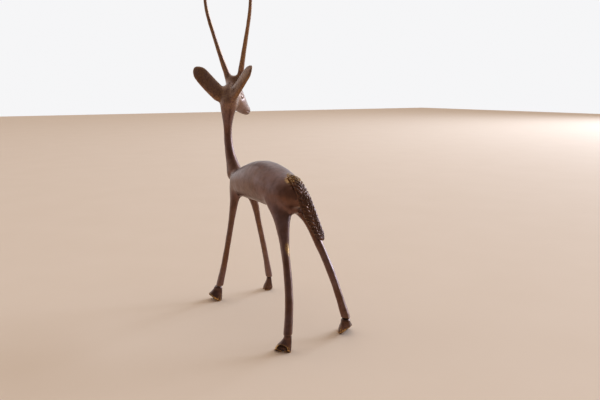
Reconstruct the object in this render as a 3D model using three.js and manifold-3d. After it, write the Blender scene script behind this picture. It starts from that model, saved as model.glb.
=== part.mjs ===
// A small cast-bronze antelope that stands on the tips of its hooves and looks over its right shoulder.
// It is put together as a founder does it: separate castings, keyed to each other with rods, pegs and
// sockets, then brazed, chased and patinated.
// Millimetres. +Z is up, the body faces -Y, and the antelope's left side is +X.

import * as THREE from "three";
import { mergeVertices } from "three/addons/utils/BufferGeometryUtils.js";
import Module from "manifold-3d";

const wasm = await Module();
wasm.setup();

// ---------------------------------------------------------------- driving dimensions

const radians = THREE.MathUtils.degToRad;
const BRAZE_GAP = 0.3; // between two castings where they meet
const CLEARANCE = 0.3; // around a rod or a peg in its hole
const SHANK_END = 9.4; // height of the square end of a leg casting
const HEAD_TURN = radians(-57); // the head looks over the right shoulder
const HEAD_AXIS = new THREE.Vector3(0.8, -58.5, 0); // the upright line that the head is turned about
const HOLLOW_SIZE = [2.3, 3, 2]; // half width, half length and depth of the hollow in a sole
const CLEFT_SIZE = [0.9, 5, 10]; // width, length and height of the slot that parts the toes
const ARCH_RADIUS = 0.9; // of the arch across the sole, between toe and heel
const HOLLOW_AHEAD = 2.4; // from below the end of a leg to the middle of the hollow and of the arch
const HOLLOW_UPHILL = 1.6; // from where the sole leaves the ground to the middle of the hollow
const CLEFT_AHEAD = 7.4; // and to the middle of the cleft

// Where each casting is cut from its neighbour, as a share of the limb's whole length.
const NECK_CUT = 0.24;
const HEAD_CUT = 0.78;
const HIND_LEG_CUT = 0.3;
const FRONT_LEG_CUT = 0.22;
const EAR_CUT = 0.22;
const HORN_CUT = 0.09;

// Loose rods across the joints, and pegs that are cast on one side of a joint.
const NECK_ROD = { radius: 1.2, length: 12 };
const HEAD_ROD = { radius: 1.2, length: 9 };
const LEG_ROD = { radius: 1, length: 10 };
const HORN_PEG = { radius: 0.7, length: 3 };
const EAR_PEG = { radius: 0.7, length: 2.5 };
const HOOF_PEG = { radius: 1, length: 3.5, root: 1.2 };
const TAIL_PEG = { radius: 0.9, length: 4.5 };

// ---------------------------------------------------------------- materials

const patina = () => new THREE.MeshStandardMaterial({ color: 0x4a3830, roughness: 0.42, metalness: 0.85 });
const rubbed = () => new THREE.MeshStandardMaterial({ color: 0x6b4f30, roughness: 0.36, metalness: 0.9 });
const bareRod = () => new THREE.MeshStandardMaterial({ color: 0xa5793f, roughness: 0.35, metalness: 1 });

// ---------------------------------------------------------------- solids

// A closed three.js geometry as a manifold-3d solid.
function solid(geometry) {
  const bare = geometry.clone();
  bare.deleteAttribute("normal");
  bare.deleteAttribute("uv");
  const merged = mergeVertices(bare, 1e-4);
  const vertProperties = merged.getAttribute("position").array;
  const triVerts = new Uint32Array(merged.index.array);
  return new wasm.Manifold(new wasm.Mesh({ numProp: 3, vertProperties, triVerts }));
}

// A manifold-3d solid as a three.js geometry.
function geometryOf(made) {
  const { vertProperties, numProp, triVerts } = made.getMesh();
  const geometry = new THREE.BufferGeometry();
  geometry.setAttribute("position", new THREE.BufferAttribute(vertProperties, numProp));
  geometry.setIndex(new THREE.BufferAttribute(triVerts, 1));
  geometry.computeVertexNormals();
  return geometry;
}

// The first geometry with others joined to it and others cut out of it, as one geometry.
function shaped(first, joined, removed) {
  let made = solid(first);
  for (const geometry of joined) made = made.add(solid(geometry));
  for (const geometry of removed) made = made.subtract(solid(geometry));
  return geometryOf(made);
}

// ---------------------------------------------------------------- limbs, rods and blocks

// A limb is a smooth line through its stations. Each station gives the middle of the limb, its half width
// and half depth there, and how square its section is: 2 is an oval, and more is squarer.
function limb(stations) {
  const middles = stations.map(([x, y, z]) => new THREE.Vector3(x, y, z));
  const sections = stations.map(([, , , wide, deep, square = 2]) => new THREE.Vector3(wide, deep, square));
  return {
    line: new THREE.CatmullRomCurve3(middles, false, "centripetal"),
    sections: new THREE.CatmullRomCurve3(sections, false, "catmullrom", 0.5),
  };
}

// The same stations on the other side.
const mirrored = (stations) => stations.map(([x, ...rest]) => [-x, ...rest]);

// How far a round end has opened at a distance from its tip, where the round is `length` long. The tip
// itself keeps a trace of its width, so that it still has a face.
const TIP_TRACE = 0.03;
const opened = (distance, length) => {
  const left = Math.max(1 - distance / length, 0);
  return Math.sqrt(Math.max(1 - left ** 2, TIP_TRACE ** 2));
};

// How much closer together the rings of a limb are at a round end.
const RING_CROWDING = 0.9;

// The stretch of a limb between two shares of its length. `across` is the direction of its width, `grow`
// is added all round, and a round end takes up its own share of the limb.
function stretch(form, options) {
  const { from = 0, to = 1, across = [1, 0, 0], rings = 16, sides = 16, grow = 0 } = options;
  const { roundFrom = 0, roundTo = 0 } = options;
  const tube = new THREE.CylinderGeometry(1, 1, 1, sides, rings);
  const place = tube.getAttribute("position");
  const sideways = new THREE.Vector3(...across);
  for (let i = 0; i < place.count; i++) {
    const [x, even, z] = [place.getX(i), place.getY(i) + 0.5, place.getZ(i)];
    const crowd = (roundTo ? even : 0) - (roundFrom ? 1 - even : 0); // towards a round end
    const share = THREE.MathUtils.lerp(from, to, even + RING_CROWDING * crowd * even * (1 - even));
    const t = form.line.getUtoTmapping(share);
    const middle = form.line.getPoint(t);
    const along = form.line.getTangent(t);
    const section = form.sections.getPoint(t);
    const wide = sideways.clone().addScaledVector(along, -sideways.dot(along)).normalize();
    const deep = new THREE.Vector3().crossVectors(wide, along);
    const start = roundFrom ? opened(share - from, roundFrom) : 1;
    const end = roundTo ? opened(to - share, roundTo) : 1;
    const reach = (Math.abs(x) ** section.z + Math.abs(z) ** section.z) ** (1 / section.z) || 1;
    middle.addScaledVector(wide, (x / reach) * (section.x * start * end + grow));
    middle.addScaledVector(deep, (z / reach) * (section.y * start * end + grow));
    place.setXYZ(i, middle.x, middle.y, middle.z);
  }
  return tube;
}

// A round rod centred on a point, along a direction.
function rod(middle, along, radius, length) {
  const geometry = new THREE.CylinderGeometry(radius, radius, length, 12);
  const upright = new THREE.Vector3(0, 1, 0);
  geometry.applyQuaternion(new THREE.Quaternion().setFromUnitVectors(upright, along.clone().normalize()));
  return geometry.translate(middle.x, middle.y, middle.z);
}

// A block around a point.
function block([width, depth, height], [x, y, z]) {
  return new THREE.BoxGeometry(width, depth, height).translate(x, y, z);
}

// A thick slab whose top is the ground.
const slab = () => block([30, 30, 10], [0, 0, -5]);

// A joint across a limb: the point on its line, the direction there, and the rod that keys its two sides.
function joint(form, share, { radius, length }) {
  const middle = form.line.getPointAt(share);
  const along = form.line.getTangentAt(share);
  return {
    rod: rod(middle, along, radius, length),
    bore: rod(middle, along, radius + CLEARANCE, length + 2 * CLEARANCE),
  };
}

// The share of a limb that a braze gap takes up.
const gapOn = (form) => BRAZE_GAP / form.line.getLength();

// ---------------------------------------------------------------- the forms

// From the breast to the rump: a low saddle behind the neck, then a humped back.
const trunk = limb([
  [0, -53, 74, 2.6, 4.2],
  [0, -48.5, 73.6, 5.8, 7.2, 2.1],
  [0, -42, 73.6, 8, 7.9, 2.2],
  [0, -30, 75.6, 10, 10.3, 2.2],
  [0, -15, 77.7, 11.3, 12.1, 2.2],
  [0, -3, 77.2, 11.6, 11.9, 2.2],
  [0, 9, 75.6, 10.8, 10.2, 2.2],
  [0, 19, 73.6, 8.8, 8.4, 2.1],
  [0, 28, 71.5, 5, 5.4],
]);

// The web under the rump, between the hind legs.
const groin = limb([
  [0, 12, 70, 4, 4],
  [-0.6, 18, 67.6, 3.8, 3],
  [-1, 23.4, 67, 3.2, 2.6],
]);

// From inside the shoulders to inside the head.
const throat = limb([
  [0, -49.5, 74, 5.6, 7.6],
  [0.1, -54.2, 82, 4.1, 5.1],
  [0.3, -57.7, 89.5, 3, 3.5],
  [0.5, -59.7, 98, 2.6, 2.8],
  [0.5, -60, 107, 2.7, 2.9],
  [0.6, -59.1, 115, 4, 4.3],
  [0.3, -58.1, 121, 5.4, 5.8],
  [-0.4, -57.4, 127, 5.2, 5.6],
]);

// Half width, half depth and squareness of a leg at its stations, from inside the body to the hoof.
const HIND_SECTIONS = [
  [8, 6],
  [8, 5.4],
  [4.4, 2.8],
  [2.1, 2.2, 2.4],
  [1.9, 2, 2.8],
  [1.9, 2, 3],
  [2.3, 2.4, 3.2],
];
const FRONT_SECTIONS = [
  [3.8, 6.4],
  [3.5, 5.4],
  [2.4, 3, 2.2],
  [1.7, 1.9, 2.5],
  [1.65, 1.75, 2.8],
  [1.75, 1.85, 3],
  [2.1, 2.2, 3.2],
];

// Each leg is bent by hand, so no two stand alike. `girth` is how stout its free length is, `size` how
// large its hoof and `back` how far back it sits. `toe` is how far the hoof is turned out. Its sole leaves
// the ground at `edge`, measured from below the end of the leg towards the middle, and rises by `tilt` the
// way that the leg leans, or turned from that by `swing`.
const legs = [
  {
    name: "hind_left",
    girth: 1.12,
    size: 0.94,
    back: 0,
    toe: radians(50),
    tilt: radians(55),
    edge: -1.2,
    swing: radians(-8),
    middles: [
      [3.8, 3, 79], [3.6, 11, 71.5], [6.8, 19.2, 61], [9.9, 27.1, 48],
      [12.6, 34.7, 34], [15.7, 40.8, 21], [19.9, 46.2, 7.4],
    ],
  },
  {
    name: "hind_right",
    girth: 1,
    size: 1.12,
    back: 0.6,
    toe: radians(42),
    tilt: radians(45),
    edge: 2.2,
    swing: 0,
    middles: [
      [-3.8, 3, 79], [-4.6, 11, 71.5], [-8.9, 19.8, 61], [-11.3, 27.5, 48],
      [-14.3, 34.4, 34], [-16.7, 39.2, 21], [-19, 43.6, 7.4],
    ],
  },
  {
    name: "front_left",
    girth: 1,
    size: 1.08,
    back: -1,
    toe: radians(60),
    tilt: radians(42),
    edge: -1.6,
    swing: 0,
    middles: [
      [2.6, -45, 77], [4.2, -42.4, 69], [6.4, -40.8, 61], [9, -40.4, 48],
      [11.8, -40.4, 34], [14.4, -40.9, 21], [17.9, -41.2, 7.4],
    ],
  },
  {
    name: "front_right",
    girth: 1,
    size: 0.82,
    back: 0,
    toe: radians(8),
    tilt: radians(26),
    edge: 0.5,
    swing: 0,
    middles: [
      [-2.6, -45, 77], [-4.6, -42.4, 69], [-7.6, -40.8, 61], [-10.2, -40.2, 48],
      [-13.2, -40.2, 34], [-15.8, -40.4, 21], [-18.2, -40.8, 7.4],
    ],
  },
];
const FREE_STATIONS = [3, 4, 5]; // between the thigh and the end of a leg
for (const leg of legs) {
  const hind = leg.name.startsWith("hind");
  leg.across = hind ? [-0.8 * Math.sign(leg.middles[0][0]), 0.6, 0] : [1, 0, 0];
  const sections = hind ? HIND_SECTIONS : FRONT_SECTIONS;
  leg.form = limb(
    leg.middles.map((middle, i) => {
      const [wide, deep, square] = sections[i];
      const stout = FREE_STATIONS.includes(i) ? leg.girth : 1;
      return [...middle, stout * wide, stout * deep, square];
    }),
  );
  leg.cut = hind ? HIND_LEG_CUT : FRONT_LEG_CUT;
  leg.joint = joint(leg.form, leg.cut, LEG_ROD);
}

// A hoof under the origin, with its toe towards -Y. Its neck comes out of the square end of the leg.
const hoofForm = limb([
  [0, 0, SHANK_END - BRAZE_GAP, 1.75, 1.8, 2.6],
  [0, -0.2, 6.5, 1.9, 2.2, 2.5],
  [0, -1.2, 3.6, 2.8, 3.2, 2.4],
  [0, -2.5, 0.6, 3.5, 4.4, 2.5],
  [0, -3.1, -1.6, 3.6, 4.8, 2.5],
]);

// The tail lies on the rump and then on the back of the right thigh.
const brush = limb([
  [0.2, 14.8, 86.2, 2.8, 1.6],
  [-0.4, 20.2, 83.4, 3.6, 1.8],
  [-1.2, 25.4, 77.8, 4, 2],
  [-3, 27.7, 70.8, 4.1, 2.1],
  [-5.9, 28.3, 63.6, 3.9, 1.9],
  [-8.7, 29.4, 57, 3.4, 1.6],
  [-11.6, 31.6, 50.6, 2.4, 1.1],
]);

const TAIL_ACROSS = [1, 0.05, 0.25];

// The head, its ears and its horns face -Y, and are turned together.
const skull = limb([
  [0, 3.4, 126, 3, 4],
  [0, -1, 127.2, 5.2, 6.8, 2.1],
  [0, -7, 126.4, 5.6, 8, 2.1],
  [0, -13.5, 122.2, 4.6, 6.2, 2.1],
  [0, -20.2, 118.2, 3.1, 4.1, 2.1],
  [0, -26.6, 115.6, 2.1, 2.5],
]);
const hornBoss = limb([
  [0, -6.4, 130, 5.2, 3.8],
  [0, -7.4, 134.5, 5.2, 3.2, 2.4],
  [0, -7.4, 139, 4.6, 2.1, 2.6],
]);
const EAR = [
  [2.6, 0, 124.4, 4.6, 3.2],
  [7.1, 1.8, 129.4, 5, 2.3],
  [12.6, 3.5, 135.2, 5, 1.8],
  [17.3, 4.5, 140.5, 4.7, 1.4],
  [20.9, 5, 144.4, 3.4, 1.1],
];
const RIGHT_HORN_OUT = 0.8; // the right horn stands this much further out than the left one
const EAR_ACROSS = [0.51, -0.56, 0.64]; // on the right ear, so that it opens forwards and outwards
const HORN = [
  [3.2, -8, 134.5, 2.5, 2.4],
  [4.7, -7.3, 140.5, 2.1, 2],
  [7.2, -5.7, 148.8, 1.6, 1.6],
  [11.3, -3.9, 163.3, 1.3, 1.3],
  [15, -2.2, 177.5, 1.15, 1.15],
  [16, -1.6, 187, 1.05, 1.05],
  [15.2, -1.4, 198, 0.9, 0.9],
  [12.4, -2.2, 211, 0.5, 0.5],
];

// ---------------------------------------------------------------- the castings

const neckJoint = joint(throat, NECK_CUT, NECK_ROD);
const headJoint = joint(throat, HEAD_CUT, HEAD_ROD);
const rightHind = legs.find(({ name }) => name === "hind_right");
const trunkShape = { rings: 24, sides: 28, roundFrom: 0.1, roundTo: 0.16 };

// The tail's peg runs down and forwards into the rump.
function tailPeg(clearance = 0) {
  const inwards = new THREE.Vector3(0, -0.45, -0.9);
  const middle = brush.line.getPointAt(0.12).addScaledVector(inwards, TAIL_PEG.length / 2);
  return rod(middle, inwards, TAIL_PEG.radius + clearance, TAIL_PEG.length + 2 * clearance);
}

function torso() {
  const shoulders = stretch(throat, { to: NECK_CUT, rings: 6, sides: 20, roundFrom: 0.1 });
  const stubs = legs.map(({ form, cut, across }) =>
    stretch(form, { to: cut, across, rings: 7, sides: 20, roundFrom: 0.1 }),
  );
  const web = stretch(groin, { rings: 8, roundFrom: 0.2, roundTo: 0.3 });
  const bores = legs.map((leg) => leg.joint.bore);
  return shaped(
    stretch(trunk, trunkShape),
    [shoulders, web, ...stubs],
    [...bores, neckJoint.bore, tailPeg(CLEARANCE)],
  );
}

function neck() {
  const shape = stretch(throat, { from: NECK_CUT + gapOn(throat), to: HEAD_CUT, rings: 14, sides: 18 });
  return shaped(shape, [], [neckJoint.bore, headJoint.bore]);
}

// The middle of a leg's square end, and the direction of the leg there.
function ankle(form) {
  const nearly = 0.97; // of the leg's length
  const middle = form.line.getPointAt(nearly);
  const along = form.line.getTangentAt(nearly);
  middle.addScaledVector(along, (SHANK_END - middle.z) / along.z);
  return { middle, along };
}

// The peg of a hoof runs up into the end of its leg from a root inside the hoof.
function hoofPeg(form, clearance = 0) {
  const { radius, length, root } = HOOF_PEG;
  const { middle, along } = ankle(form);
  middle.addScaledVector(along, (root - length) / 2);
  return rod(middle, along, radius + clearance, length + root + 2 * clearance);
}

function shank({ form, cut, across, joint: { bore } }) {
  const shape = stretch(form, { from: cut + gapOn(form), across, rings: 16, sides: 14 });
  const below = block([90, 150, SHANK_END], [0, 0, SHANK_END / 2]);
  return shaped(shape, [], [bore, below, hoofPeg(form, CLEARANCE)]);
}

// A cloven hoof. Its hollow sole is about square to the splayed leg, so only the edge towards the middle
// of the antelope is down, and it is flat there.
function hoof({ form, size, back, toe, tilt, edge, swing }) {
  const { middle, along } = ankle(form);
  const turn = Math.sign(middle.x) * toe;
  const shape = stretch(hoofForm, { rings: 10, sides: 18 }).scale(size, size, 1);
  shape.translate(0, back, 0).rotateZ(turn);
  const cleft = block(CLEFT_SIZE, [0, -CLEFT_AHEAD, 2]).rotateZ(turn);
  const rise = Math.atan2(along.y, along.x) - Math.PI / 2 + swing;
  const under = slab().rotateX(tilt).translate(0, -edge, 0).rotateZ(rise); // its top is the sole
  const uphill = new THREE.Vector3(-Math.sin(rise), Math.cos(rise), 0);
  const ahead = new THREE.Vector3(Math.sin(turn), -Math.cos(turn), 0).multiplyScalar(HOLLOW_AHEAD);
  const arch = rod(ahead, new THREE.Vector3(ahead.y, -ahead.x, 0), ARCH_RADIUS, 20);
  const pit = ahead.clone().addScaledVector(uphill, HOLLOW_UPHILL - edge - ahead.dot(uphill));
  pit.z = HOLLOW_UPHILL * Math.tan(tilt);
  const hollow = new THREE.SphereGeometry(1, 12, 8).scale(...HOLLOW_SIZE).rotateZ(turn - rise);
  hollow.rotateX(tilt).rotateZ(rise).translate(...pit);
  const cuts = [cleft, under, hollow, arch, slab()];
  for (const piece of [shape, ...cuts]) piece.translate(middle.x, middle.y, 0);
  return shaped(shape, [hoofPeg(form)], cuts);
}

function tail() {
  const rump = stretch(trunk, { ...trunkShape, grow: BRAZE_GAP });
  const thigh = stretch(rightHind.form, { to: 0.7, across: rightHind.across, sides: 20, grow: BRAZE_GAP });
  const strip = { rings: 20, sides: 14, roundFrom: 0.08, roundTo: 0.1, across: TAIL_ACROSS };
  const lying = shaped(stretch(brush, strip), [], [rump, thigh]);
  return shaped(lying, [tailPeg()], []);
}

// ---------------------------------------------------------------- the head, in its own turned frame

const statuette = new THREE.Group();
const headGroup = new THREE.Group();
headGroup.position.copy(HEAD_AXIS);
headGroup.rotation.z = HEAD_TURN;
headGroup.updateMatrix();
statuette.add(headGroup);

const outerHorn = HORN.map(([x, ...rest]) => [x + RIGHT_HORN_OUT, ...rest]);
const headSides = [
  { name: "left", earStations: EAR, hornStations: HORN, across: mirrored([EAR_ACROSS])[0] },
  { name: "right", earStations: mirrored(EAR), hornStations: mirrored(outerHorn), across: EAR_ACROSS },
];
for (const side of headSides) {
  side.ear = limb(side.earStations);
  side.horn = limb(side.hornStations);
  side.earJoint = joint(side.ear, EAR_CUT, EAR_PEG);
  side.hornJoint = joint(side.horn, HORN_CUT, HORN_PEG);
}

function head() {
  const boss = stretch(hornBoss, { rings: 6, sides: 18 });
  const roots = headSides.flatMap((side) => [
    stretch(side.ear, { to: EAR_CUT, rings: 5, across: side.across, roundFrom: 0.12 }),
    stretch(side.horn, { to: HORN_CUT, rings: 4, sides: 12 }),
  ]);
  const bores = headSides.flatMap(({ earJoint, hornJoint }) => [earJoint.bore, hornJoint.bore]);
  const nape = stretch(throat, { from: HEAD_CUT + gapOn(throat), rings: 6, sides: 18, roundTo: 0.06 });
  const neckBore = headJoint.bore.clone();
  for (const piece of [nape, neckBore]) piece.applyMatrix4(headGroup.matrix.clone().invert());
  const shape = stretch(skull, { rings: 18, sides: 20, roundFrom: 0.2, roundTo: 0.1 });
  return shaped(shape, [boss, nape, ...roots], [...bores, neckBore]);
}

function ear({ ear: form, across, earJoint }) {
  const shape = stretch(form, { from: EAR_CUT + gapOn(form), rings: 12, across, roundTo: 0.2 });
  return shaped(shape, [earJoint.rod], []);
}

function horn({ horn: form, hornJoint }) {
  const shape = stretch(form, { from: HORN_CUT + gapOn(form), rings: 24, sides: 12, roundTo: 0.02 });
  return shaped(shape, [hornJoint.rod], []);
}

// ---------------------------------------------------------------- the assembly

function place(group, name, geometry, material) {
  const mesh = new THREE.Mesh(geometry, material);
  mesh.name = name;
  group.add(mesh);
}

place(statuette, "torso", torso(), patina());
place(statuette, "neck", neck(), patina());
place(statuette, "tail", tail(), rubbed());
place(statuette, "neck_rod", neckJoint.rod, bareRod());
place(statuette, "head_rod", headJoint.rod, bareRod());
for (const each of legs) {
  place(statuette, `leg_${each.name}`, shank(each), patina());
  place(statuette, `hoof_${each.name}`, hoof(each), rubbed());
  place(statuette, `leg_rod_${each.name}`, each.joint.rod, bareRod());
}
place(headGroup, "head", head(), patina());
for (const side of headSides) {
  place(headGroup, `ear_${side.name}`, ear(side), patina());
  place(headGroup, `horn_${side.name}`, horn(side), patina());
}

// The origin is on the ground, under the middle of the whole figure.
const bounds = new THREE.Box3().setFromObject(statuette, true);
const centre = bounds.getCenter(new THREE.Vector3());
statuette.position.set(-centre.x, -centre.y, -bounds.min.z);

export default statuette;
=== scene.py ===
"""The looks of a small patinated bronze antelope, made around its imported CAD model.

The castings of the body, neck, head, legs, ears and horns are first fused into one skin, which is smoothed
and chased as a founder does it by hand. The skin is then cut apart again along the CAD joints, so that each
casting is one closed piece with its own bores and pegs. The tail and the hooves are chased one by one.
Metres. +Z is up, the body faces -Y, and the antelope's left side is +X.
"""

import math

import bmesh
import bpy
import numpy as np
from mathutils import Matrix, Vector, kdtree, noise


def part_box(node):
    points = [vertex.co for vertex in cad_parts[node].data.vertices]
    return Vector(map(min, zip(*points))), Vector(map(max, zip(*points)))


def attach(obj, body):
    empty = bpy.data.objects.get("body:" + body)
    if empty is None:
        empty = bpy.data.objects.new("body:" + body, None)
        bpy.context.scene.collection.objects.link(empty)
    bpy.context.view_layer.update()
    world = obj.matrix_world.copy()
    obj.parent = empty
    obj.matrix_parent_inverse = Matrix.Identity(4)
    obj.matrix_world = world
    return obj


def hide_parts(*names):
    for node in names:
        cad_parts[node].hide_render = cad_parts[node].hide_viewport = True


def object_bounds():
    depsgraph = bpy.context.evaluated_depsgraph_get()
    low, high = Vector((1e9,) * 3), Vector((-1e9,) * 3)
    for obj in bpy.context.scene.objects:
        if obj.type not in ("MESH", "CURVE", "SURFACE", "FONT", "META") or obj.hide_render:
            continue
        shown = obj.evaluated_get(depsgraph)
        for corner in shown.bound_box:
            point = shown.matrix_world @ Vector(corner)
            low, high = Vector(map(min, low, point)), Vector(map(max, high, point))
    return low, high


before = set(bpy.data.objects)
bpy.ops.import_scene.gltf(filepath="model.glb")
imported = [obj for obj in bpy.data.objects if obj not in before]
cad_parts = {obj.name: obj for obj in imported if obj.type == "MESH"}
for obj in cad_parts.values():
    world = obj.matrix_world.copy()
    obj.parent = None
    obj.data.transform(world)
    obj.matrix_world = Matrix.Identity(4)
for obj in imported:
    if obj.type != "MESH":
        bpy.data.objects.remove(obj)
cad_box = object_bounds()

MM = 0.001

# ---------------------------------------------------------------- driving values

SKIN_VOXEL = 0.3 * MM
FINE_VOXEL = 0.18 * MM  # for the tail and the hooves
SWELL = 0.22 * MM  # closes the braze gaps of 0.3 mm before the remesh, and comes off after it
BORE_CLEARANCE = 0.3 * MM
PEG_RADIUS = 0.7 * MM  # of an ear's or a horn's peg
EAR_PEG_LENGTH = 1.25 * MM
HORN_PEG_LENGTH = 1.5 * MM
BORE_SIDES = 24

FILLET_ROUNDS = 420
SOFTEN_ROUNDS = 90
SEAT_RISE = 1.5 * MM  # how far the rump rises beside the tail
SEAT_REACH = 4.5 * MM
INNER_BACK = np.array([-0.5, 0.86, 0])  # from the left hind leg, to where its thigh is rubbed

TAIL_ACROSS = np.array([1, 0.05, 0.25])
CHEVRON_PITCH = 2.3 * MM
CHEVRON_SLANT = 1.1  # how far the cuts run down the tail for each step sideways
CHEVRON_DEPTH = 0.55 * MM
HAIR_PITCH = 0.75 * MM
HAIR_DEPTH = 0.16 * MM
ROOT_SINK = 0.8 * MM  # the tail's root lies deeper in the rump

HOOF_PLUMP = {  # how much fuller each hoof is than in the CAD
    "hind_left": 0.15 * MM,
    "hind_right": 0.5 * MM,
    "front_left": 0.5 * MM,
    "front_right": 0.15 * MM,
}

CAMERA_AT = Vector((160.1, 294.7, 130.0)) * MM
CAMERA_TURN = math.radians(32.1)  # from looking along -Y towards -X
CAMERA_DROP = math.radians(10.69)  # below the horizon
CAMERA_LENS = 34.9  # mm, on a sensor 36 mm wide

LEG_NAMES = ("hind_left", "hind_right", "front_left", "front_right")
SIDE_NAMES = ("left", "right")

# ---------------------------------------------------------------- meshes as arrays


def welded(node):
    """A CAD node as a bmesh whose doubled corners are merged."""
    mesh = bmesh.new()
    mesh.from_mesh(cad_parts[node].data)
    bmesh.ops.remove_doubles(mesh, verts=mesh.verts, dist=0.001 * MM)
    mesh.normal_update()
    return mesh


def node_points(node):
    """The vertices of a CAD node."""
    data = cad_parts[node].data
    points = np.empty(len(data.vertices) * 3, np.float32)
    data.vertices.foreach_get("co", points)
    return points.reshape(-1, 3).astype(float)


def remeshed(nodes, voxel):
    """The union of CAD nodes, swollen a little, as one even mesh."""
    data = bpy.data.meshes.new("swollen")
    together = bmesh.new()
    for node in nodes:
        part = welded(node)
        for vert in part.verts:
            vert.co += vert.normal * SWELL
        part.to_mesh(data)
        together.from_mesh(data)
        part.free()
    together.to_mesh(data)
    together.free()
    holder = bpy.data.objects.new("swollen", data)
    bpy.context.scene.collection.objects.link(holder)
    remesh = holder.modifiers.new("voxels", "REMESH")
    remesh.mode = "VOXEL"
    remesh.voxel_size = voxel
    depsgraph = bpy.context.evaluated_depsgraph_get()
    result = bpy.data.meshes.new_from_object(holder.evaluated_get(depsgraph))
    bpy.data.objects.remove(holder)
    bpy.data.meshes.remove(data)
    return result


class Skin:
    """A closed mesh as arrays: its points can be smoothed, filled and chased."""

    def __init__(self, mesh):
        mesh.calc_loop_triangles()
        self.mesh = mesh
        self.count = len(mesh.vertices)
        points = np.empty(self.count * 3, np.float32)
        mesh.vertices.foreach_get("co", points)
        self.points = points.reshape(-1, 3).astype(float)
        edges = np.empty(len(mesh.edges) * 2, np.int32)
        mesh.edges.foreach_get("vertices", edges)
        self.ends = edges.reshape(-1, 2).T
        self.degree = np.bincount(edges, minlength=self.count)
        corners = np.empty(len(mesh.loop_triangles) * 3, np.int32)
        mesh.loop_triangles.foreach_get("vertices", corners)
        self.corners = corners.reshape(-1, 3).T

    def gathered(self, slots, values):
        """The sum of rows of values at each vertex."""
        return np.stack([np.bincount(slots, column, self.count) for column in values.T], axis=1)

    def around(self, values):
        """The mean of each vertex's neighbours."""
        a, b = self.ends
        return (self.gathered(a, values[b]) + self.gathered(b, values[a])) / self.degree[:, None]

    def normals(self):
        a, b, c = (self.points[corner] for corner in self.corners)
        faces = np.cross(b - a, c - a)
        total = sum(self.gathered(corner, faces) for corner in self.corners)
        return total / np.maximum(np.linalg.norm(total, axis=1), 1e-30)[:, None]

    def smooth(self, rounds):
        """Takes the voxel steps off, and keeps the volume."""
        for _ in range(rounds):
            self.points += 0.5 * (self.around(self.points) - self.points)
            self.points -= 0.52 * (self.around(self.points) - self.points)

    def fill(self, rounds, share):
        """Fillets the creases: only concave places rise, by each vertex's share."""
        share = share[:, None]
        for turn in range(rounds):
            if turn % 5 == 0:
                normals = self.normals()
            lean = self.around(self.points) - self.points
            rise = (lean * normals).sum(axis=1)[:, None]
            self.points += share * (0.6 * np.maximum(rise, 0) * normals + 0.25 * (lean - rise * normals))

    def soften(self, rounds, share):
        """Rounds the flats away by each vertex's share, and keeps the size."""
        before = self.points.copy()
        for _ in range(rounds):
            self.points += 0.5 * share[:, None] * (self.around(self.points) - self.points)
        lost = ((before - self.points) * self.normals()).sum(axis=1)[:, None]
        for _ in range(rounds):
            lost += 0.5 * (self.around(lost) - lost)
        self.push(lost[:, 0])

    def push(self, distance):
        """Moves each vertex along its normal."""
        self.points += self.normals() * np.broadcast_to(distance, self.count)[:, None]

    def sharpness(self, rounds):
        """How far each vertex stands out from its surroundings, in metres."""
        normals = self.normals()
        mean = self.points.copy()
        for _ in range(rounds):
            mean += 0.5 * (self.around(mean) - mean)
        stands = ((self.points - mean) * normals).sum(axis=1)[:, None]
        for _ in range(3):
            stands = 0.5 * (stands + self.around(stands))
        return stands[:, 0]

    def write(self, **attributes):
        """Puts the points back into the mesh, with values of its vertices by name."""
        self.mesh.vertices.foreach_set("co", self.points.astype(np.float32).ravel())
        for name, values in attributes.items():
            layer = self.mesh.attributes.new(name, "FLOAT", "POINT")
            layer.data.foreach_set("value", values.astype(np.float32))
        self.mesh.update()
        return self.mesh


def ramp(values, low, high):
    """A smooth step from 0 at low to 1 at high."""
    t = np.clip((values - low) / (high - low), 0, 1)
    return t * t * (3 - 2 * t)


def rough(points, size, seed):
    """Smooth noise from -1 to 1, with features of a size in metres."""
    shift = Vector((seed * 3.1, seed * 5.7, seed * 7.9))
    return np.array([noise.noise(Vector(point) / size + shift) for point in points.tolist()])


def tree_of(points):
    """A search tree over points, whose indices are theirs."""
    tree = kdtree.KDTree(len(points))
    for i, point in enumerate(points):
        tree.insert(point, i)
    tree.balance()
    return tree


def unit(vector):
    return np.asarray(vector, float) / np.linalg.norm(vector)


# ---------------------------------------------------------------- joints, found in the frame


def rod_line(node):
    """The middle and the direction of a straight rod."""
    points = node_points(node)
    middle = (points.max(axis=0) + points.min(axis=0)) / 2
    spread = np.linalg.eigh(np.cov((points - points.mean(axis=0)).T))
    return middle, spread[1][:, -1]


def flat_end(node):
    """The middle and the outward direction of the largest flat of a casting."""
    mesh = welded(node)
    flats = {}
    for face in mesh.faces:
        offset = round(face.normal.dot(face.calc_center_median()) / (0.1 * MM))
        key = (*(round(n, 2) for n in face.normal), offset)
        flats.setdefault(key, []).append(face)
    flat = max(flats.values(), key=lambda faces: sum(face.calc_area() for face in faces))
    area = sum(face.calc_area() for face in flat)
    middle = sum((face.calc_center_median() * face.calc_area() for face in flat), Vector()) / area
    outward = flat[0].normal.copy()
    mesh.free()
    return np.array(middle), np.array(outward)


class Joint:
    """Where the skin is cut, and the bores or the peg that key the two sides."""

    def __init__(self, middle, along, reach, radius, depth, peg_side=0):
        self.middle = np.asarray(middle, float)
        self.along = unit(along)
        self.reach = reach
        self.radius = radius
        self.depth = depth
        self.peg_side = peg_side  # 1: the side that along points to holds the peg


def rod_joint(node, reach):
    """A joint with a loose rod across it."""
    middle, along = rod_line(node)
    points = node_points(node) - middle
    depth = np.abs(points @ along).max()
    radius = np.linalg.norm(points - np.outer(points @ along, along), axis=1).max()
    return Joint(middle, along, reach, radius, depth)


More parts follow.
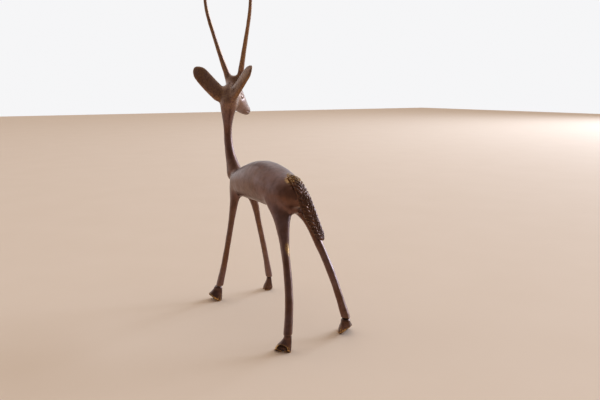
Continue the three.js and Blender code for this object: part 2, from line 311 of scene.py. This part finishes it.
def peg_joint(node, reach, depth):
    """The joint of an ear or a horn, which has a peg of its own."""
    middle, outward = flat_end(node)
    return Joint(middle, -outward, reach, PEG_RADIUS, depth, peg_side=1)


def skin_joints():
    joints = [rod_joint("neck_rod", 8 * MM), rod_joint("head_rod", 5.6 * MM)]
    for name in LEG_NAMES:
        joints.append(rod_joint(f"leg_rod_{name}", 7 * MM))
    for side in SIDE_NAMES:
        joints.append(peg_joint(f"ear_{side}", 6 * MM, EAR_PEG_LENGTH))
        joints.append(peg_joint(f"horn_{side}", 2.8 * MM, HORN_PEG_LENGTH))
    return joints


# ---------------------------------------------------------------- cutting the skin into castings


def part_at(mesh, joint):
    """Parts the mesh along a joint's plane, close to the joint's middle."""
    middle = Vector(joint.middle)
    near = [face for face in mesh.faces if (face.calc_center_median() - middle).length < joint.reach]
    edges = {edge for face in near for edge in face.edges}
    verts = {vert for face in near for vert in face.verts}
    cut = bmesh.ops.bisect_plane(
        mesh,
        geom=[*near, *edges, *verts],
        plane_co=middle,
        plane_no=Vector(joint.along),
        dist=1e-8,
    )
    ring = [item for item in cut["geom_cut"] if isinstance(item, bmesh.types.BMEdge)]
    bmesh.ops.split_edges(mesh, edges=ring)


def islands(mesh):
    """The connected parts of a mesh, as lists of its vertices."""
    found = []
    seen = set()
    for start in mesh.verts:
        if start in seen:
            continue
        seen.add(start)
        island = [start]
        for vert in island:
            for edge in vert.link_edges:
                other = edge.other_vert(vert)
                if other not in seen:
                    seen.add(other)
                    island.append(other)
        found.append(island)
    return found


def close_end(mesh, joint, facing):
    """Closes an open end with a flat that holds the joint's peg or its bore. facing points out of it."""
    middle = Vector(joint.middle)
    ring = [
        edge
        for edge in mesh.edges
        if edge.is_boundary and all((v.co - middle).length < 2 * joint.reach for v in edge.verts)
        and all(abs((v.co - middle).dot(facing)) < 0.01 * MM for v in edge.verts)
    ]
    if not ring:
        return
    has_peg = joint.peg_side and facing.dot(Vector(joint.along)) < 0
    radius = joint.radius if has_peg else joint.radius + BORE_CLEARANCE
    step = joint.depth if has_peg else -joint.depth - BORE_CLEARANCE
    turn = facing.to_track_quat("Z", "Y").to_matrix().to_4x4()
    place = Matrix.Translation(middle) @ turn
    circle = bmesh.ops.create_circle(mesh, segments=BORE_SIDES, radius=radius, matrix=place)["verts"]
    rim = list({edge for vert in circle for edge in vert.link_edges})
    bmesh.ops.triangle_fill(mesh, edges=[*ring, *rim], use_beauty=True, normal=facing)
    wall = bmesh.ops.extrude_edge_only(mesh, edges=rim)["geom"]
    far = [item for item in wall if isinstance(item, bmesh.types.BMVert)]
    bmesh.ops.translate(mesh, verts=far, vec=facing * step)
    far_rim = {edge for vert in far for edge in vert.link_edges if edge.is_boundary}
    bmesh.ops.contextual_create(mesh, geom=list(far_rim))
    for edge in [*ring, *rim, *far_rim]:
        edge.smooth = False


def own_piece(mesh, verts, joints, name):
    """The part of a mesh with these vertices as a closed object of its own."""
    part = bmesh.new()
    names = [layer.name for layer in mesh.verts.layers.float.values()]
    layers = {key: part.verts.layers.float.new(key) for key in names}
    copies = {}
    for vert in verts:
        copy = part.verts.new(vert.co)
        for key, layer in layers.items():
            copy[layer] = vert[mesh.verts.layers.float[key]]
        copies[vert] = copy
    for face in {face for vert in verts for face in vert.link_faces}:
        part.faces.new([copies[vert] for vert in face.verts])
    for joint in joints:
        for facing in (Vector(joint.along), -Vector(joint.along)):
            side = own_side(part, joint)
            if side * facing.dot(Vector(joint.along)) < 0:
                close_end(part, joint, facing)
    bmesh.ops.recalc_face_normals(part, faces=part.faces)
    for face in part.faces:
        face.smooth = True
    data = bpy.data.meshes.new(name)
    part.to_mesh(data)
    part.free()
    return placed(data, name)


def own_side(part, joint):
    """Which side of a joint's plane an open part lies on, near the joint: 1 is where along points."""
    middle = Vector(joint.middle)
    along = Vector(joint.along)
    total = 0
    for edge in part.edges:
        if not edge.is_boundary:
            continue
        if any(abs((v.co - middle).dot(along)) > 0.01 * MM for v in edge.verts):
            continue
        if (edge.verts[0].co - middle).length > 2 * joint.reach:
            continue
        total += (edge.link_faces[0].calc_center_median() - middle).dot(along)
    return math.copysign(1, total) if total else 0


def placed(data, name):
    piece = bpy.data.objects.new(name, data)
    bpy.context.scene.collection.objects.link(piece)
    return piece


def nearest_nodes(found, mesh, nodes):
    """For each island, the CAD node that most of it lies on."""
    where = {vert: i for i, island in enumerate(found) for vert in island}
    order = list(mesh.verts)
    tree = tree_of([vert.co for vert in order])
    owners = {}
    for node in nodes:
        votes = np.zeros(len(found), int)
        for point in node_points(node):
            votes[where[order[tree.find(point)[1]]]] += 1
        owners[int(votes.argmax())] = node
    return owners


# ---------------------------------------------------------------- the fused skin

CASTINGS = ["torso", "neck", "head"]
CASTINGS += [f"leg_{name}" for name in LEG_NAMES]
CASTINGS += [f"{kind}_{side}" for kind in ("ear", "horn") for side in SIDE_NAMES]
RODS = ["neck_rod", "head_rod", *(f"leg_rod_{name}" for name in LEG_NAMES)]


def near_tail(points, reach):
    """Which points lie in the tail's box, made larger by reach on each side."""
    low, high = (np.array(corner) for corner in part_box("tail"))
    return np.all((points > low - reach) & (points < high + reach), axis=1)


def fillet_share(points):
    """How much each point takes part in filleting: not the horns, the tail's seat and the feet."""
    horn_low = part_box("horn_left")[0].z
    share = 1 - 0.95 * ramp(points[:, 2], horn_low + 2 * MM, horn_low + 7 * MM)
    leg_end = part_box("hoof_hind_left")[1].z
    share *= ramp(points[:, 2], leg_end + 1 * MM, leg_end + 4 * MM)
    tree = tree_of(node_points("tail"))
    for i in np.flatnonzero(near_tail(points, 3 * MM)):
        share[i] *= min(tree.find(points[i])[2] / (2.5 * MM), 1) ** 2
    return share


def body_share(points):
    """How thick the figure is at each point, from 0 on the thin limbs to 1 on the body."""
    z = points[:, 2]
    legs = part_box("leg_hind_left")[1].z
    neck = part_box("neck")
    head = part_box("head")
    body = ramp(z, legs - 6 * MM, legs + 6 * MM) * (1 - ramp(z, neck[0].z, neck[0].z + 8 * MM))
    axis = rod_line("head_rod")[0]
    nearby = 1 - ramp(np.linalg.norm((points - axis)[:, :2], axis=1), 6 * MM, 10 * MM)
    skull = 0.8 * nearby * ramp(z, head[0].z, head[0].z + 6 * MM)
    skull *= 1 - ramp(z, head[1].z - 2 * MM, head[1].z + 2 * MM)
    hind_rods = [rod_line(f"leg_rod_{name}")[0] for name in ("hind_left", "hind_right")]
    for middle in (sum(hind_rods) / 2, rod_line("neck_rod")[0]):
        fold = 1 - ramp(np.linalg.norm(points - middle, axis=1), 8 * MM, 13 * MM)
        body = np.maximum(body, fold)
    return np.minimum(0.06 + 0.9 * body + skull, 1)


def outer_shell(mesh):
    """Only the largest connected part of a mesh: bubbles in the old bores go."""
    shell = bmesh.new()
    shell.from_mesh(mesh)
    found = sorted(islands(shell), key=len)
    for island in found[:-1]:
        bmesh.ops.delete(shell, geom=island, context="VERTS")
    shell.to_mesh(mesh)
    shell.free()
    return mesh


def fused_skin():
    skin = Skin(outer_shell(remeshed([*CASTINGS, *RODS], SKIN_VOXEL)))
    skin.smooth(10)
    skin.push(-SWELL)
    skin.fill(FILLET_ROUNDS, fillet_share(skin.points))
    skin.soften(SOFTEN_ROUNDS, body_share(skin.points))
    skin.smooth(6)
    return skin


# ---------------------------------------------------------------- the head's own directions


class HeadFrame:
    """The head's own axes: y forwards to the muzzle, x to its left, z up, from the neck's axis."""

    def __init__(self):
        axis = rod_line("head_rod")[0]
        points = node_points("head")
        reach = np.linalg.norm((points - axis)[:, :2], axis=1)
        muzzle = points[reach.argmax()]
        ahead = unit([*(muzzle - axis)[:2], 0])
        self.origin = np.array([axis[0], axis[1], 0])
        self.axes = np.array([[-ahead[1], ahead[0], 0], ahead, [0, 0, 1]])
        self.length = reach.max()
        self.low = points[:, 2].min()

    def local(self, points):
        return (points - self.origin) @ self.axes.T


def carve_face(skin, head):
    """Eyes, nostrils and mouth."""
    local = head.local(skin.points)
    x, y, z = local.T
    side = np.abs(x)
    normals = skin.normals() @ head.axes.T
    depth = np.zeros(skin.count)
    # An eye is a low almond in a shallow socket, with a thin lid line round it.
    eye_y = 0.36 * head.length
    eye_z = head.low + 12.2 * MM
    slope = 0.42
    along = ((y - eye_y) + slope * -(z - eye_z)) / (2.1 * MM)
    over = ((z - eye_z) + slope * (y - eye_y)) / (1.35 * MM)
    far = np.sqrt(along**2 + over**2 * (1 + 0.5 * along**2))
    on_side = ramp(np.abs(normals[:, 0]), 0.3, 0.6) * (side > 1.5 * MM)
    depth += on_side * -0.35 * MM * np.exp(-((far / 1.7) ** 4))
    depth += on_side * 0.42 * MM * np.clip(1 - far**2, 0, 1) ** 0.7
    depth -= on_side * 0.22 * MM * np.exp(-(((far - 1.15) / 0.14) ** 2))
    # The mouth runs back from the tip of the muzzle.
    mouth_z = head.low + 1.9 * MM + 0.16 * (0.9 * head.length - y)
    line = np.exp(-(((z - mouth_z) / (0.28 * MM)) ** 2)) * ramp(y, 0.68 * head.length, 0.76 * head.length)
    depth -= 0.3 * MM * line
    nostril = np.hypot((side - 1.5 * MM) / (0.55 * MM), (z - head.low - 4.1 * MM) / (0.45 * MM))
    depth -= 0.45 * MM * np.exp(-(nostril**2)) * ramp(y, 0.93 * head.length, 0.97 * head.length)
    inside = (z > head.low - 2 * MM) & (z < head.low + 26 * MM) & (y > 0.1 * head.length)
    skin.push(depth * inside)


def carve_ear(skin, node, head):
    """Hollows the front of an ear between its two rims."""
    base, inwards = flat_end(node)
    points = node_points(node)
    tip = points[((points - base) @ -inwards).argmax()]
    along = unit(tip - base)
    length = np.linalg.norm(tip - base)
    rest = points - base
    rest -= np.outer(rest @ along, along)
    across = np.linalg.eigh(np.cov(rest.T))[1][:, -1]
    front = np.cross(along, across)
    front *= math.copysign(1, front @ head.axes[1])
    half = np.abs(rest @ across).max()
    u = (skin.points - base) @ along / length
    w = (skin.points - base) @ across / half
    facing = skin.normals() @ front
    near = (u > -0.25) & (u < 1.05) & (np.abs(w) < 1.2) & (np.abs((skin.points - base) @ front) < 5 * MM)
    width = np.sqrt(np.clip(1 - (2 * np.clip(u, 0, 1) - 1) ** 4, 0.02, 1))
    bowl = np.clip(1 - (w / (0.8 * width)) ** 2, 0, 1) ** 0.8 * ramp(u, -0.15, 0.25) * ramp(u, 1.0, 0.75)
    skin.push(-1.05 * MM * bowl * ramp(facing, 0.25, 0.7) * near)


# ---------------------------------------------------------------- materials


class Nodes:
    """A short way to write a material's node tree."""

    def __init__(self, name):
        self.material = bpy.data.materials.new(name)
        self.material.use_nodes = True
        self.tree = self.material.node_tree
        self.shader = self.tree.nodes["Principled BSDF"]

    def add(self, kind, links=(), **settings):
        node = self.tree.nodes.new(kind)
        for key, value in settings.items():
            setattr(node, key, value)
        for socket, source in dict(links).items():
            self.set(node, socket, source)
        return node

    def set(self, node, socket, source):
        if isinstance(source, bpy.types.NodeSocket):
            self.tree.links.new(source, node.inputs[socket])
        else:
            node.inputs[socket].default_value = source

    def noise(self, size, detail=4.0, roughness=0.55, stretch=(1, 1, 1)):
        """Noise from 0 to 1 whose features have a size in metres."""
        place = self.add("ShaderNodeTexCoord").outputs["Object"]
        scaled = self.add("ShaderNodeMapping", {"Vector": place, "Scale": stretch})
        links = {"Vector": scaled.outputs[0], "Scale": 1 / size, "Detail": detail, "Roughness": roughness}
        return self.add("ShaderNodeTexNoise", links).outputs[0]

    def attribute(self, name):
        return self.add("ShaderNodeAttribute", attribute_name=name).outputs["Fac"]

    def step(self, value, low, high):
        """A smooth step of a value from 0 at low to 1 at high."""
        links = {"Value": value, "From Min": low, "From Max": high}
        return self.add("ShaderNodeMapRange", links, interpolation_type="SMOOTHSTEP").outputs[0]

    def maths(self, operation, a, b):
        return self.add("ShaderNodeMath", {0: a, 1: b}, operation=operation).outputs[0]

    def mixed(self, share, low, high):
        """A colour between two colours."""
        node = self.add("ShaderNodeMix", data_type="RGBA")
        self.set(node, 0, share)
        for socket, colour in ((6, low), (7, high)):
            if not isinstance(colour, bpy.types.NodeSocket):
                colour = (*colour, 1)
            self.set(node, socket, colour)
        return node.outputs[2]

    def number(self, share, low, high):
        """A number between two numbers."""
        node = self.add("ShaderNodeMix", data_type="FLOAT")
        self.set(node, 0, share)
        self.set(node, 2, low)
        self.set(node, 3, high)
        return node.outputs[0]


# The darkest patina is also used as painted shade in recesses and creases.
DARK_PATINA_AND_SHADE = (0.040, 0.018, 0.009)
BROWN_PATINA = (0.150, 0.060, 0.032)
MAUVE_PATINA = (0.190, 0.104, 0.092)
GOLDEN_METAL = (0.78, 0.45, 0.14)


def bronze(name, darkness, wax, matt):
    """Dark patina over bronze. darkness widens its dark patches, wax is the weight of its clear coat,
    and matt is the roughness of its smoothest places."""
    nodes = Nodes(name)
    clouds = nodes.noise(16 * MM, 5)
    streaks = nodes.noise(2.4 * MM, 6, 0.6, (1, 1, 0.7))
    grain = nodes.noise(0.4 * MM, 3)
    base = nodes.mixed(nodes.step(clouds, 0.36, 0.66), BROWN_PATINA, MAUVE_PATINA)
    smoky = nodes.maths("MULTIPLY", nodes.step(streaks, 0.4 - darkness, 0.9 - darkness), 0.6)
    base = nodes.mixed(smoky, base, DARK_PATINA_AND_SHADE)
    # Darker patina in recesses, which is also painted shade in the creases.
    hollow = nodes.attribute("hollow")
    base = nodes.mixed(nodes.maths("MULTIPLY", hollow, 0.85), base, DARK_PATINA_AND_SHADE)
    worn = nodes.attribute("worn")
    patchy = nodes.maths("MULTIPLY", worn, nodes.step(nodes.noise(1.1 * MM, 6, 0.7), 0.34, 0.62))
    base = nodes.mixed(patchy, base, GOLDEN_METAL)
    nodes.set(nodes.shader, "Base Color", base)
    satin = nodes.number(nodes.step(streaks, 0.3, 0.7), matt, matt + 0.1)
    nodes.set(nodes.shader, "Roughness", nodes.number(patchy, satin, 0.28))
    nodes.shader.inputs["Metallic"].default_value = 1.0
    nodes.shader.inputs["Coat Weight"].default_value = wax
    nodes.shader.inputs["Coat Roughness"].default_value = 0.38
    height = nodes.maths("ADD", nodes.maths("MULTIPLY", grain, 0.5), nodes.maths("MULTIPLY", streaks, 0.4))
    bump = nodes.add("ShaderNodeBump", {"Height": height, "Strength": 0.3, "Distance": 0.08 * MM})
    nodes.set(nodes.shader, "Normal", bump.outputs[0])
    return nodes.material


def bare_metal():
    """The drawn rods inside the joints."""
    nodes = Nodes("bare_bronze")
    draw = nodes.noise(0.5 * MM, 4, 0.6, (1, 1, 0.08))
    nodes.set(nodes.shader, "Base Color", nodes.mixed(draw, (0.45, 0.27, 0.11), GOLDEN_METAL))
    nodes.set(nodes.shader, "Roughness", nodes.number(draw, 0.25, 0.45))
    nodes.shader.inputs["Metallic"].default_value = 1.0
    return nodes.material


def floor_surface():
    nodes = Nodes("pale_floor")
    soft = nodes.noise(60 * MM, 3)
    nodes.set(nodes.shader, "Base Color", nodes.mixed(soft, (0.86, 0.64, 0.46), (0.90, 0.68, 0.50)))
    nodes.shader.inputs["Roughness"].default_value = 0.95
    nodes.shader.inputs["Specular IOR Level"].default_value = 0.1
    return nodes.material


# ---------------------------------------------------------------- the pieces


def wear_of(skin, rounds, edge_height):
    """How rubbed each vertex is, from 0 to 1, and how far it lies in a recess, which gets darker patina and
    painted shade: proud edges are rubbed.
    """
    stands = skin.sharpness(rounds)
    worn = ramp(stands, 0.35 * edge_height, edge_height)
    hollow = ramp(-stands, 0.3 * edge_height, edge_height)
    return worn, hollow


def make_castings(material):
    skin = fused_skin()
    head = HeadFrame()
    for side in SIDE_NAMES:
        carve_ear(skin, f"ear_{side}", head)
    carve_face(skin, head)
    skin.push(seat_rise(skin))
    skin.push(0.10 * MM * rough(skin.points, 6 * MM, 1) + 0.04 * MM * rough(skin.points, 2.2 * MM, 2))
    worn, hollow = wear_of(skin, 30, 0.16 * MM)
    head_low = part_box("head")[0].z
    # More gold patches on everything above the head's lowest point, rising over its first 8 mm.
    gold_rising_over_head = 0.16 * ramp(skin.points[:, 2], head_low, head_low + 8 * MM)
    worn = np.maximum(0.12 * worn + gold_rising_over_head, handled(skin.points))
    fused = bmesh.new()
    fused.from_mesh(skin.write(worn=worn, hollow=hollow))
    joints = skin_joints()
    for joint in joints:
        part_at(fused, joint)
    found = islands(fused)
    owners = nearest_nodes(found, fused, CASTINGS)
    if len(owners) != len(CASTINGS) or len(found) != len(CASTINGS):
        sizes = sorted(len(island) for island in found)
        raise ValueError(f"the skin fell into {sizes} for {len(CASTINGS)} castings, owned by {owners}")
    for i, node in owners.items():
        piece = own_piece(fused, found[i], joints, f"{node}_casting")
        hand_over(piece, node, material)
    fused.free()


def seat_rise(skin):
    """The rump rises to meet the tail's edges, so that the tail grows out of it."""
    tree = tree_of(node_points("tail"))
    near = near_tail(skin.points, 4 * MM)
    near &= skin.points[:, 2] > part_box("tail")[0].z + 16 * MM
    normals = skin.normals()
    rise = np.zeros(skin.count)
    for i in np.flatnonzero(near):
        found, _, gap = tree.find(skin.points[i])
        beside = 1 - abs(np.array(found) - skin.points[i]) @ abs(normals[i]) / max(gap, 1e-9)
        rise[i] = SEAT_RISE * max(beside, 0) * max(1 - gap / SEAT_REACH, 0) ** 2
    rise = rise[:, None]
    for _ in range(8):
        rise = 0.5 * (rise + skin.around(rise))
    return rise[:, 0]


def handled(points):
    """The skin is rubbed bright around the tail's root, and down the inner edge of the left thigh."""
    tail = node_points("tail")
    root = tail[tail[:, 2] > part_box("tail")[1].z - 9 * MM].mean(axis=0)
    rump = 0.75 * (1 - ramp(np.linalg.norm(points - root, axis=1), 3 * MM, 5.4 * MM))
    shank = node_points("leg_hind_left")
    height = 0.815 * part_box("leg_hind_left")[1].z
    level = shank[np.abs(shank[:, 2] - height) < 4 * MM]
    edge = level[(level @ INNER_BACK).argmax()]
    stretched = (points - edge) * (1, 1, 0.25)
    thigh = 0.75 * (1 - ramp(np.linalg.norm(stretched, axis=1), 0.8 * MM, 2.4 * MM))
    return np.maximum(rump, thigh)


def hand_over(piece, node, material):
    """The piece stands for a CAD node."""
    piece.data.materials.clear()
    piece.data.materials.append(material)
    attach(piece, "root")
    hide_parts(node)


def make_hoof(name, material):
    skin = Skin(remeshed([f"hoof_{name}"], FINE_VOXEL))
    skin.smooth(8)
    skin.push(-SWELL)
    skin.smooth(3)
    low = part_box(f"hoof_{name}")[0]
    shown = 1 - ramp(skin.points[:, 2], low.z + 8 * MM, low.z + 9 * MM)
    skin.push(shown * (HOOF_PLUMP[name] + 0.07 * MM * rough(skin.points, 1.6 * MM, 3)))
    skin.points[:, 2] = np.maximum(skin.points[:, 2], low.z)
    worn, hollow = wear_of(skin, 24, 0.07 * MM)
    worn *= 0.8 * (1 - ramp(skin.points[:, 2], low.z + 3.2 * MM, low.z + 5.6 * MM))
    mesh = skin.write(worn=worn, hollow=hollow)
    mesh.shade_smooth()
    hand_over(placed(mesh, f"hoof_{name}_casting"), f"hoof_{name}", material)


def tail_line():
    """Middles of the CAD tail, from its root to its tip, evenly spaced."""
    points = node_points("tail")
    root = points[points[:, 2].argmax()]
    tip = points[points[:, 2].argmin()]
    share = (points - root) @ (tip - root) / np.sum((tip - root) ** 2)
    middles = []
    for i in range(13):
        near = np.abs(share - i / 12) < 0.06
        outer = points[near]
        middles.append(outer[outer[:, 1] > np.median(outer[:, 1]) - 1.5 * MM].mean(axis=0))
    return np.array(middles)


def tail_places(skin):
    """Each vertex's way along and across the tail, how far it faces out, and the tail's length."""
    line = tail_line()
    steps = np.linalg.norm(np.diff(line, axis=0), axis=1)
    lengths = np.concatenate([[0], np.cumsum(steps)])
    along = np.zeros(skin.count)
    across = np.zeros(skin.count)
    best = np.full(skin.count, np.inf)
    outwards = np.zeros(skin.count)
    normals = skin.normals()
    for i, step in enumerate(steps):
        way = (line[i + 1] - line[i]) / step
        wide = unit(TAIL_ACROSS - way * (TAIL_ACROSS @ way))
        out = np.cross(wide, way)
        out *= math.copysign(1, out[1])
        t = np.clip((skin.points - line[i]) @ way, 0, step)
        gap = np.linalg.norm(skin.points - line[i] - np.outer(t, way), axis=1)
        nearer = gap < best
        best[nearer] = gap[nearer]
        along[nearer] = lengths[i] + t[nearer]
        across[nearer] = ((skin.points - line[i]) @ wide)[nearer]
        outwards[nearer] = (normals @ out)[nearer]
    return along, across, outwards, lengths[-1]


def chase_tail(skin, along, across, outwards, length):
    """Cuts the chevrons and the fine hair lines into the tail's back, and sinks its root."""
    phase = (along + CHEVRON_SLANT * np.abs(across)) / CHEVRON_PITCH
    tooth = phase - np.floor(phase)
    lift = np.where(tooth < 0.75, tooth / 0.75, (1 - tooth) / 0.25)
    slanted = across + 0.5 * np.abs(across) * np.sin(phase)
    hair = 0.5 + 0.5 * np.cos(2 * math.pi * slanted / HAIR_PITCH)
    on_back = ramp(outwards, -0.3, 0.3)
    ends = ramp(along, 1 * MM, 4 * MM) * (1 - ramp(along, length - 2 * MM, length))
    rib = np.exp(-((across / (0.3 * MM)) ** 2))
    cut = (CHEVRON_DEPTH * (lift - 0.6) + HAIR_DEPTH * (hair - 0.5)) * (1 - 0.5 * rib)
    sunk = ROOT_SINK * (1 - ramp(along, 0, 7 * MM))
    skin.push((cut * ends - sunk) * on_back)
    skin.smooth(1)


def make_tail(material):
    skin = Skin(remeshed(["tail"], FINE_VOXEL))
    skin.smooth(8)
    skin.push(-SWELL)
    skin.smooth(3)
    along, across, outwards, length = tail_places(skin)
    chase_tail(skin, along, across, outwards, length)
    worn, hollow = wear_of(skin, 20, 0.2 * MM)
    root_rub = 1 - ramp(along, 5 * MM, 10 * MM)
    left_edge = ramp(across, 2.4 * MM, 3.4 * MM) * ramp(along, 12 * MM, 20 * MM)
    worn = np.clip(worn * (0.22 + 0.8 * root_rub + 0.5 * left_edge) + 0.35 * root_rub, 0, 1)
    mesh = skin.write(worn=worn, hollow=hollow)
    mesh.shade_smooth()
    hand_over(placed(mesh, "tail_casting"), "tail", material)


# ---------------------------------------------------------------- the set


def make_camera():
    data = bpy.data.cameras.new("camera")
    data.lens = CAMERA_LENS
    data.sensor_width = 36
    data.clip_start = 0.01
    camera = bpy.data.objects.new("camera", data)
    bpy.context.scene.collection.objects.link(camera)
    camera.location = CAMERA_AT
    level = math.cos(CAMERA_DROP)
    look = Vector(
        (-math.sin(CAMERA_TURN) * level, -math.cos(CAMERA_TURN) * level, -math.sin(CAMERA_DROP))
    )
    camera.rotation_euler = look.to_track_quat("-Z", "Y").to_euler()
    bpy.context.scene.camera = camera


def make_floor():
    half = 3.0
    data = bpy.data.meshes.new("floor")
    corners = [(-half, -half, 0), (half, -half, 0), (half, half, 0), (-half, half, 0)]
    data.from_pydata(corners, [], [(0, 1, 2, 3)])
    data.materials.append(floor_surface())
    placed(data, "floor")


def area_light(name, place, size, power, colour):
    """A square soft light that faces the middle of the figure."""
    low, high = cad_box
    middle = (low + high) / 2
    data = bpy.data.lights.new(name, "AREA")
    data.size = size
    data.energy = power
    data.color = colour
    light = bpy.data.objects.new(name, data)
    light.location = middle + Vector(place)
    light.rotation_euler = (-Vector(place)).to_track_quat("-Z", "Y").to_euler()
    bpy.context.scene.collection.objects.link(light)


WALL_SIDE = (-0.53, -0.85, 0)  # towards the bright wall, behind the figure
WALL_LIGHT = (0.92, 0.92, 0.93)
ROOM_LIGHT = (0.24, 0.20, 0.18)
WINDOW_PLACE = (-2.6, -0.07, 0.75)  # from the figure's middle
WINDOW_SIZE = 1.6
WINDOW_POWER = 80  # watts
WINDOW_COLOUR = (0.55, 0.72, 1.0)


def make_world():
    """Light from all round, which fades from the bright wall to the darker room."""
    world = bpy.data.worlds.new("studio")
    world.use_nodes = True
    tree = world.node_tree
    direction = tree.nodes.new("ShaderNodeTexCoord").outputs["Generated"]
    towards = tree.nodes.new("ShaderNodeVectorMath")
    towards.operation = "DOT_PRODUCT"
    tree.links.new(direction, towards.inputs[0])
    towards.inputs[1].default_value = WALL_SIDE
    fade = tree.nodes.new("ShaderNodeMapRange")
    fade.interpolation_type = "SMOOTHSTEP"
    tree.links.new(towards.outputs["Value"], fade.inputs["Value"])
    fade.inputs["From Min"].default_value = -0.5
    fade.inputs["From Max"].default_value = 0.45
    mix = tree.nodes.new("ShaderNodeMix")
    mix.data_type = "RGBA"
    tree.links.new(fade.outputs[0], mix.inputs[0])
    mix.inputs[6].default_value = (*ROOM_LIGHT, 1)
    mix.inputs[7].default_value = (*WALL_LIGHT, 1)
    tree.links.new(mix.outputs[2], tree.nodes["Background"].inputs["Color"])
    bpy.context.scene.world = world


def make_lights():
    make_world()
    bpy.context.scene.view_settings.view_transform = "Standard"
    area_light("window", WINDOW_PLACE, WINDOW_SIZE, WINDOW_POWER, WINDOW_COLOUR)


make_camera()
make_lights()
make_floor()
patina = bronze("dark_patina", 0.0, 0.5, 0.38)
chased = bronze("rubbed_patina", 0.3, 0.3, 0.26)
metal = bare_metal()
make_castings(patina)
make_tail(chased)
for leg_name in LEG_NAMES:
    make_hoof(leg_name, chased)
for rod in RODS:
    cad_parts[rod].data.materials.clear()
    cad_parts[rod].data.materials.append(metal)
